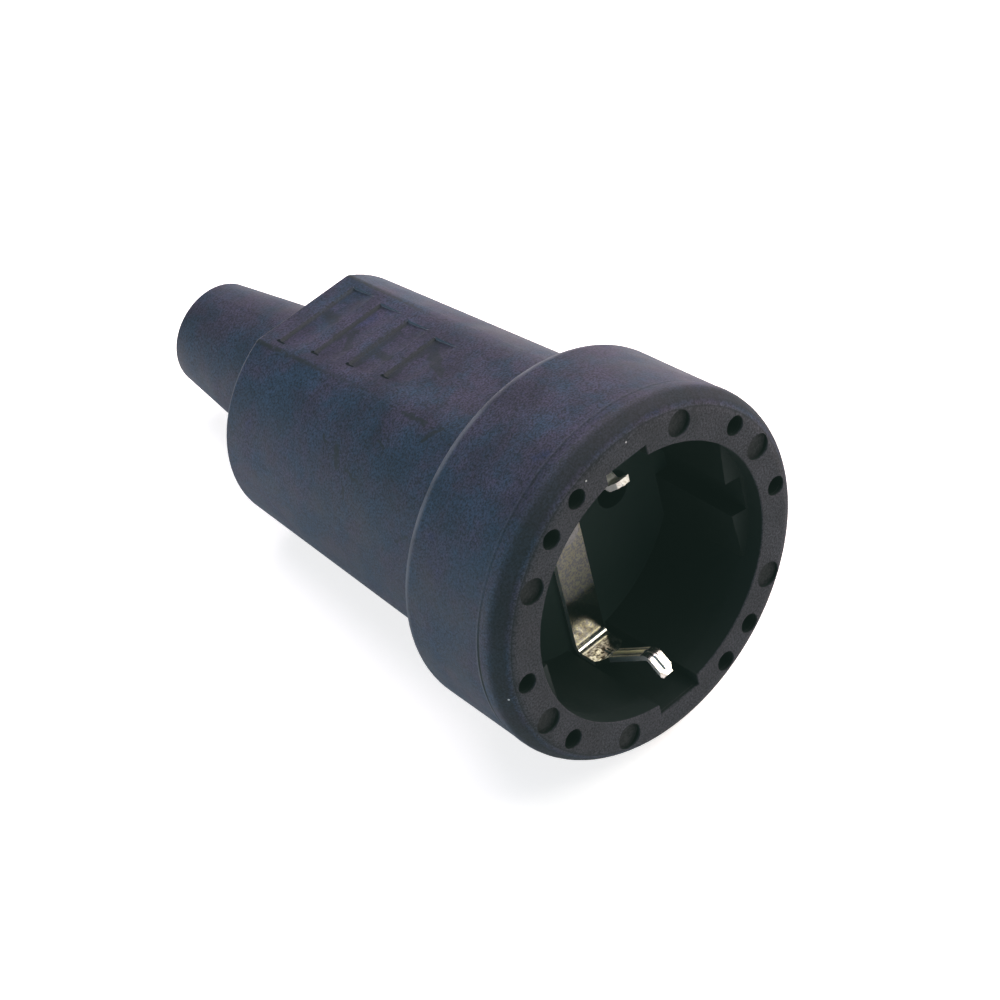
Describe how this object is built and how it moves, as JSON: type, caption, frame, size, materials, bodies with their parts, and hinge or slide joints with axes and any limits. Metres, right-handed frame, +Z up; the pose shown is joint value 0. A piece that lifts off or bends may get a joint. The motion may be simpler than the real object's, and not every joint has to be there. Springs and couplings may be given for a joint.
{
  "type": "inline socket connector",
  "caption": "Rubber inline socket connector with a round recessed face, side earthing clips, recessed pin contacts, grip flats and a tapered cable neck.",
  "frame": {"origin": "on the floor below the centre of the bounding box, with the socket lying as it comes to rest", "axes": "+Y from the socket face towards the cable neck along the floor, +X to the right pin as seen from the face, +Z up; the socket's own axis falls about 11 degrees towards the neck"},
  "size_m": [0.052, 0.0934, 0.0533],
  "materials": {
    "rubber": "matte moulded rubber, dark blue-grey",
    "carrier_plastic": "matte black thermoplastic",
    "contact_brass": "turned brass",
    "spring_steel": "bright spring steel",
    "plated_steel": "zinc-plated steel",
    "nickel_strip": "nickel-plated sheet strip"
  },
  "bodies": {
    "root": {"rubber_housing": "rubber", "contact_carrier": "carrier_plastic", "contact_cover": "carrier_plastic", "contact_sleeve_left": "contact_brass", "contact_sleeve_right": "contact_brass", "sleeve_spring_left": "spring_steel", "sleeve_spring_right": "spring_steel", "terminal_screws": "plated_steel", "earth_strip": "nickel_strip", "earth_stud": "plated_steel", "earth_washer": "plated_steel", "earth_nut": "plated_steel", "cord_clamp": "carrier_plastic", "cord_clamp_screws": "plated_steel"}
  },
  "joints": []
}
